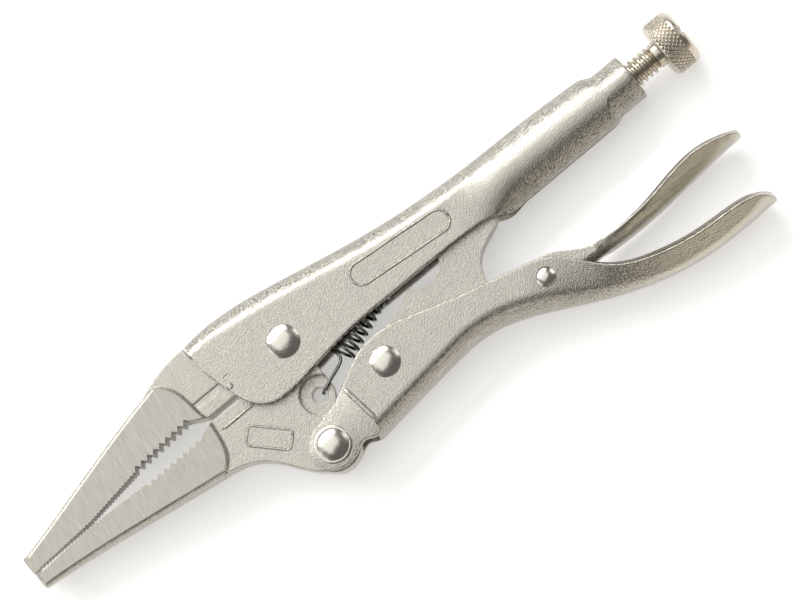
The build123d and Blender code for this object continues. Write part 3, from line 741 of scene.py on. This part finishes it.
def knob_loops():
    """Knob with a diamond knurl: two crossed families of V grooves cut the rounded rim's radius."""
    angle = np.linspace(0, 2 * math.pi, 396, endpoint=False)[None, :]
    turn = np.linspace(0, math.pi / 2, 16)
    x = np.concatenate([
        KNOB_START + KNOB_EDGE * (1 - np.cos(turn)), np.linspace(78.42 + KNOB_EDGE, 82.38, 44)])
    rim = KNOB_RADIUS - KNOB_EDGE * (1 - np.sin(turn))
    radius = np.concatenate([rim, knob_radius(x[len(turn):])])
    x = x[:, None]
    lead = (x - 79) / 0.9
    one = np.abs((angle * KNURL_COUNT / (2 * math.pi) + lead) % 1 - 0.5) * 2
    two = np.abs((angle * KNURL_COUNT / (2 * math.pi) - lead) % 1 - 0.5) * 2
    groove = np.clip(np.maximum(one, two) * 2.4 - 1.4, 0, 1)
    band = ease((x - 78.8) / 0.4) * ease((82.37 - x) / 0.1)
    return round_screw(x, angle, radius[:, None] - KNURL_DEPTH * groove * band)


def knob_radius(x):
    """Outside radius of the knob: plain, then falling away as a quarter circle to the end face."""
    over = np.clip(x - (KNOB_END - KNOB_EDGE), 0, KNOB_EDGE)
    return KNOB_RADIUS - KNOB_EDGE + np.sqrt(KNOB_EDGE ** 2 - over ** 2)


def cap_loops(side):
    """Half of the knob's end, one on each side of the driver slot: slices on chords at each y.

    A slice reaches out to where the rounded edge has shrunk to its own y.
    """
    outer = 3.8 + 1.29 * np.sin(np.linspace(0.1, math.pi / 2, 16))
    y = np.concatenate([[SLOT_HALF, 0.62], np.linspace(0.8, 3.7, 16), outer])[:, None]
    over = np.maximum(y - (KNOB_RADIUS - KNOB_EDGE), 0)
    end = KNOB_END - KNOB_EDGE + np.sqrt(np.maximum(KNOB_EDGE ** 2 - over ** 2, 0))
    share = np.sin(np.linspace(0, math.pi / 2, 18))[None, :]
    x = CAP_START + (end - CAP_START) * share
    chord = np.sqrt(np.maximum(knob_radius(x) ** 2 - y ** 2, 0))
    z = np.concatenate([chord, -chord[:, ::-1]], axis=1)
    xs = np.concatenate([x, x[:, ::-1]], axis=1)
    points = np.stack([xs, SCREW_Y + side * y + 0 * z, z], axis=-1)
    return placed(points)


def spring_path():
    """Hook, coil and hook as one smooth line: a helix whose axis leans with the spring's pull."""
    s = np.linspace(0, 1, COIL_TURNS * 40 + 1)
    angle = 2 * math.pi * COIL_TURNS * s
    across = COIL_RADIUS * np.sin(angle)
    depth = COIL_RADIUS * np.cos(angle)
    run = COIL_PITCH * COIL_TURNS * s
    coil = np.stack([
        COIL_START[0] + run * math.cos(COIL_LEAN) - across * math.sin(COIL_LEAN),
        COIL_START[1] + run * math.sin(COIL_LEAN) + across * math.cos(COIL_LEAN), depth,
    ], axis=1)
    hook_in = [
        (-0.43, -10.4, -1.2), (-0.43, -10.4, -0.3), (-0.42, -10.4, 0.7), (-0.1, -10.3, 1.15),
        (2.4, -9.4, 1.5), (4.6, -8.65, 1.9), (5.25, -8.25, 2.0),
    ]
    hook_out = coil[-1] + np.array([(0.35, 0.55, 0), (0.95, 0.95, -0.15)])
    end = np.array([
        (27.4, 1.1, 1.1), (28.4, 1.0, 1.0), (28.6, 0.9, 0.6), (28.6, 0.9, -0.4), (28.6, 0.9, -1.0),
    ])
    first = spline(hook_in + [coil[0], coil[2], coil[4]], 60)[:-8]
    last = spline(np.concatenate([coil[-5::2], hook_out, end]), 70)[8:]
    return np.concatenate([first, coil[2:-2], last])


def wire_loops(path, radius):
    """Round wire: a circle carried along the path on a frame that never twists.

    Each normal is first square to the tangent and the axis it is least along; the running sum of
    the turns between neighbouring normals is then taken back out.
    """
    along = np.gradient(path, axis=0)
    along /= np.linalg.norm(along, axis=1)[:, None]
    normal = np.cross(along, np.eye(3)[np.abs(along).argmin(axis=1)])
    normal /= np.linalg.norm(normal, axis=1)[:, None]
    other = np.cross(along, normal)
    slip = np.arctan2((normal[:-1] * other[1:]).sum(1), (normal[:-1] * normal[1:]).sum(1))
    lag = np.concatenate([[0.0], np.cumsum(slip)])[:, None]
    angle = lag + np.linspace(0, 2 * math.pi, 14, endpoint=False)[None, :]
    ring = np.cos(angle)[..., None] * normal[:, None] + np.sin(angle)[..., None] * other[:, None]
    return placed(path[:, None] + radius * ring)


def bead_loops(path, surface, width, rise, closed=True):
    """Raised line on a flat face: half an ellipse carried along a plane path."""
    path = np.asarray(path, float)
    if closed:
        along = np.roll(path, -1, 0) - np.roll(path, 1, 0)
    else:
        along = np.gradient(path, axis=0)
    along = along / np.linalg.norm(along, axis=1)[:, None]
    across = np.stack([-along[:, 1], along[:, 0]], axis=1)
    turn = np.linspace(0, math.pi, 9)[None, :, None]
    fade = np.ones((len(path), 1, 1))
    if not closed:
        ends = np.linspace(0, 1, len(path))[:, None, None]
        fade = np.sqrt(np.clip(np.minimum(ends, 1 - ends) * 8, 0.01, 1))
    flat = path[:, None] + width / 2 * np.cos(turn) * across[:, None] * fade
    z = surface + (rise + BEAD_SUNK) * np.sin(turn) * fade - BEAD_SUNK
    points = np.concatenate([flat, z], axis=-1)
    if closed:
        points = np.concatenate([points, points[:1]])
    return placed(points)


def stadium(centre, length, height, corner, tilt):
    """Rounded rectangle: four corner arcs, filled in to even steps."""
    turn = np.linspace(0, math.pi / 2, 9)
    signs = [(1, 1), (-1, 1), (-1, -1), (1, -1)]
    arcs = [
        np.stack([sx * (length / 2 - corner) + corner * np.cos(turn + k * math.pi / 2),
                  sy * (height / 2 - corner) + corner * np.sin(turn + k * math.pi / 2)], axis=1)
        for k, (sx, sy) in enumerate(signs)
    ]
    ring = np.concatenate(arcs + [arcs[0][:1]])
    walk = np.concatenate([[0.0], np.cumsum(np.linalg.norm(np.diff(ring, axis=0), axis=1))])
    at = np.linspace(0, walk[-1], 141)[:-1]
    x, y = np.interp(at, walk, ring[:, 0]), np.interp(at, walk, ring[:, 1])
    c, s = math.cos(tilt), math.sin(tilt)
    return np.stack([centre[0] + c * x - s * y, centre[1] + s * x + c * y], axis=1)


# Operators

class PLIERS_OT_handle(bpy.types.Operator):
    """Make the fixed handle: a bent channel that closes to a tube and a barrel"""
    bl_idname = "pliers.handle"
    bl_label = "Fixed handle"

    def execute(self, context):
        thing = solid("handle_shell", handle_mesh(context.scene.pliers_sizes))
        dress(thing, sheet_nickel())
        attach(thing, "fixed_handle")
        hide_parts("frame_shell")
        surface = context.scene.pliers_sizes.width / MM / 2
        panel = stadium((24.7, -0.5), 19.2, 3.9, 1.9, math.radians(-6))
        crimp = np.stack([np.full(12, -11.55), np.linspace(-0.55, 0.55, 12)], axis=1)
        notch = np.stack([np.linspace(-11.9, -10.4, 12), np.full(12, 1.95)], axis=1)
        marks = solid("handle_marks", [
            bead_loops(panel, surface, 0.5, 0.22),
            bead_loops(crimp, surface, 1.1, 0.22, closed=False),
            bead_loops(notch, surface, 0.35, 0.1, closed=False),
        ])
        dress(marks, sheet_nickel())
        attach(marks, "fixed_handle")
        return {"FINISHED"}


class PLIERS_OT_levers(bpy.types.Operator):
    """Make the lever and the release lever nested in it"""
    bl_idname = "pliers.levers"
    bl_label = "Levers"

    def execute(self, context):
        sizes = context.scene.pliers_sizes
        lever = solid("lever_channel", lever_meshes(sizes))
        dress(lever, lever_nickel())
        half = sizes.width / MM / 2
        crease = np.stack([np.linspace(2.6, 3.6, 16), np.linspace(-12.3, -20.2, 16)], axis=1)
        fold = solid("lever_crease", [bead_loops(crease, half, 0.95, 0.3, closed=False)])
        dress(fold, lever_nickel())
        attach(fold, "lever")
        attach(lever, "lever")
        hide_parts("lever")
        release = solid("release_channel", release_mesh())
        dress(release, lever_nickel())
        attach(release, "release_lever")
        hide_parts("release_lever")
        return {"FINISHED"}


class PLIERS_OT_jaws(bpy.types.Operator):
    """Finish the two forged jaws and the stamped link"""
    bl_idname = "pliers.jaws"
    bl_label = "Jaws and link"

    def execute(self, context):
        for node in ("fixed_jaw", "movable_jaw"):
            dress(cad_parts[node], forged_nickel())
        dress(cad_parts["toggle_link"], sheet_nickel())
        panel = stadium((-12, -10.6), 7.6, 3.4, 0.8, math.radians(-46))
        ridge = np.stack([np.linspace(-17.3, -9.6, 16), np.full(16, -4.5)], axis=1)
        border = solid("jaw_panel", [
            bead_loops(panel, JAW_FACE, 0.5, 0.2),
            bead_loops(ridge, JAW_FACE, 0.7, 0.24, closed=False),
        ])
        dress(border, forged_nickel())
        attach(border, "movable_jaw")
        return {"FINISHED"}


class PLIERS_OT_rivets(bpy.types.Operator):
    """Turn the four rivets"""
    bl_idname = "pliers.rivets"
    bl_label = "Rivets"

    def execute(self, context):
        half = context.scene.pliers_sizes.width / MM / 2
        polish = finish("polished_nickel_rivet", polished_nickel)
        for node, (centre, shank, head, height, gap, body, collar) in RIVETS.items():
            loops = rivet_loops(centre, shank, head, height, gap, half, collar)
            thing = solid(node + "_turned", [loops])
            dress(thing, polish)
            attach(thing, body)
            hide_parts(node)
        return {"FINISHED"}


class PLIERS_OT_screw(bpy.types.Operator):
    """Make the adjusting screw with its collar and knurled knob"""
    bl_idname = "pliers.screw"
    bl_label = "Adjusting screw"

    def execute(self, context):
        steel = finish("rolled_nickel_screw", rolled_screw_steel)
        thread = solid("screw_thread", [thread_loops(context.scene.pliers_sizes), collar_loops()])
        knob = solid("screw_knob", [knob_loops(), cap_loops(1), cap_loops(-1)], sharp=50)
        for thing in (thread, knob):
            dress(thing, steel)
            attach(thing, "adjusting_screw")
        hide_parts("adjusting_screw")
        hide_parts("adjusting_screw")
        return {"FINISHED"}


class PLIERS_OT_spring(bpy.types.Operator):
    """Wind the tension spring, which stretches from the fixed handle to the movable jaw"""
    bl_idname = "pliers.spring"
    bl_label = "Tension spring"

    def execute(self, context):
        radius = context.scene.pliers_sizes.wire / MM / 2
        thing = solid("spring_coil", [wire_loops(spring_path(), radius)], sharp=60)
        dress(thing, blackened_wire(tuple(context.scene.pliers_finishes.wire)))
        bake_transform(thing)
        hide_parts("tension_spring")
        return {"FINISHED"}


class PLIERS_OT_stage(bpy.types.Operator):
    """Lay the pale floor, hang the soft lights and set the camera"""
    bl_idname = "pliers.stage"
    bl_label = "Stage"

    def execute(self, context):
        tilt = math.radians(9)
        roll = math.radians(40)
        right = Vector((
            math.cos(roll), -math.sin(roll) * math.cos(tilt), -math.sin(roll) * math.sin(tilt)))
        up = Vector((
            math.sin(roll), math.cos(roll) * math.cos(tilt), math.cos(roll) * math.sin(tilt)))
        towards = right.cross(up)
        target = PIVOT + Vector((19.14, -7.32, 4.5)) * MM
        turn = Matrix((right, up, towards)).transposed()
        camera_data = bpy.data.cameras.new("camera")
        camera_data.sensor_width = SENSOR
        camera_data.lens = SENSOR * CAMERA_DISTANCE / CAMERA_WIDTH
        camera_data.clip_start = 0.01
        camera = bpy.data.objects.new("camera", camera_data)
        camera.matrix_world = Matrix.Translation(target + towards * CAMERA_DISTANCE) @ turn.to_4x4()
        context.scene.collection.objects.link(camera)
        context.scene.camera = camera
        self.lights(context, target)
        self.floor(context)
        return {"FINISHED"}

    def lights(self, context, target):
        """A softbox overhead, a long key strip behind the tool and three weak fills round it.

        Each box: its place from the target, width, height, power and colour.
        """
        boxes = {
            "overhead": (Vector((-0.12, 0.26, 0.8)), 1.1, 0.75, 3.1, "#FFFFFF"),
            "key": (Vector((-0.1, 0.76, 0.6)), 1.4, 0.34, 9.0, "#FFFFFF"),
            "bounce": (Vector((0.1, -0.9, 0.2)), 1.4, 0.25, 1.9, "#FFF2DC"),
            "end": (Vector((0.9, 0.1, 0.4)), 0.5, 0.5, 1.4, "#FFFFFF"),
            "nose": (Vector((-0.95, 0.0, 0.3)), 0.9, 0.4, 1.8, "#FFFFFF"),
        }
        for name, (offset, width, height, power, colour) in boxes.items():
            data = bpy.data.lights.new(name, "AREA")
            data.shape = "RECTANGLE"
            data.size = width
            data.size_y = height
            data.energy = power
            data.color = linear(colour)
            light = bpy.data.objects.new(name, data)
            light.visible_camera = False
            aim = (-offset).to_track_quat("-Z", "Y").to_matrix().to_4x4()
            light.matrix_world = Matrix.Translation(target + offset) @ aim
            context.scene.collection.objects.link(light)
        world = bpy.data.worlds.new("studio")
        world.use_nodes = True
        background = world.node_tree.nodes["Background"]
        background.inputs["Color"].default_value = (*linear("#FFFEFB"), 1)
        background.inputs["Strength"].default_value = 0.14
        context.scene.world = world
        context.scene.view_settings.view_transform = "Standard"

    def floor(self, context):
        corners = [(-3, -3, 0), (3, -3, 0), (3, 3, 0), (-3, 3, 0)]
        mesh = bpy.data.meshes.new("floor")
        mesh.from_pydata(corners, [], [(0, 1, 2, 3)])
        thing = bpy.data.objects.new("floor", mesh)
        context.scene.collection.objects.link(thing)
        paper = bpy.data.materials.new("matt_white_paper")
        paper.use_nodes = True
        surface = paper.node_tree.nodes["Principled BSDF"]
        surface.inputs["Base Color"].default_value = (*linear("#F7F6F4"), 1)
        surface.inputs["Roughness"].default_value = 0.9
        surface.inputs["Emission Color"].default_value = (*linear("#FFFFFF"), 1)
        surface.inputs["Emission Strength"].default_value = 0.4
        thing.data.materials.append(paper)


class PLIERS_PT_panel(bpy.types.Panel):
    bl_idname = "PLIERS_PT_panel"
    bl_label = "Locking pliers"
    bl_space_type = "VIEW_3D"
    bl_region_type = "UI"
    bl_category = "Pliers"

    def draw(self, context):
        for group in (context.scene.pliers_sizes, context.scene.pliers_finishes):
            for name in group.__annotations__:
                self.layout.prop(group, name)
        for operator in OPERATORS:
            self.layout.operator(operator.bl_idname)


OPERATORS = (
    PLIERS_OT_stage, PLIERS_OT_handle, PLIERS_OT_jaws, PLIERS_OT_levers, PLIERS_OT_rivets,
    PLIERS_OT_screw, PLIERS_OT_spring,
)
CLASSES = (PLIERS_PG_sizes, PLIERS_PG_finishes, *OPERATORS, PLIERS_PT_panel)


def register():
    for item in CLASSES:
        bpy.utils.register_class(item)
    bpy.types.Scene.pliers_sizes = PointerProperty(type=PLIERS_PG_sizes)
    bpy.types.Scene.pliers_finishes = PointerProperty(type=PLIERS_PG_finishes)


def unregister():
    del bpy.types.Scene.pliers_sizes
    del bpy.types.Scene.pliers_finishes
    for item in reversed(CLASSES):
        bpy.utils.unregister_class(item)


def main():
    register()
    for operator in OPERATORS:
        getattr(bpy.ops.pliers, operator.bl_idname.split(".")[1])()


if __name__ == "__main__":
    main()
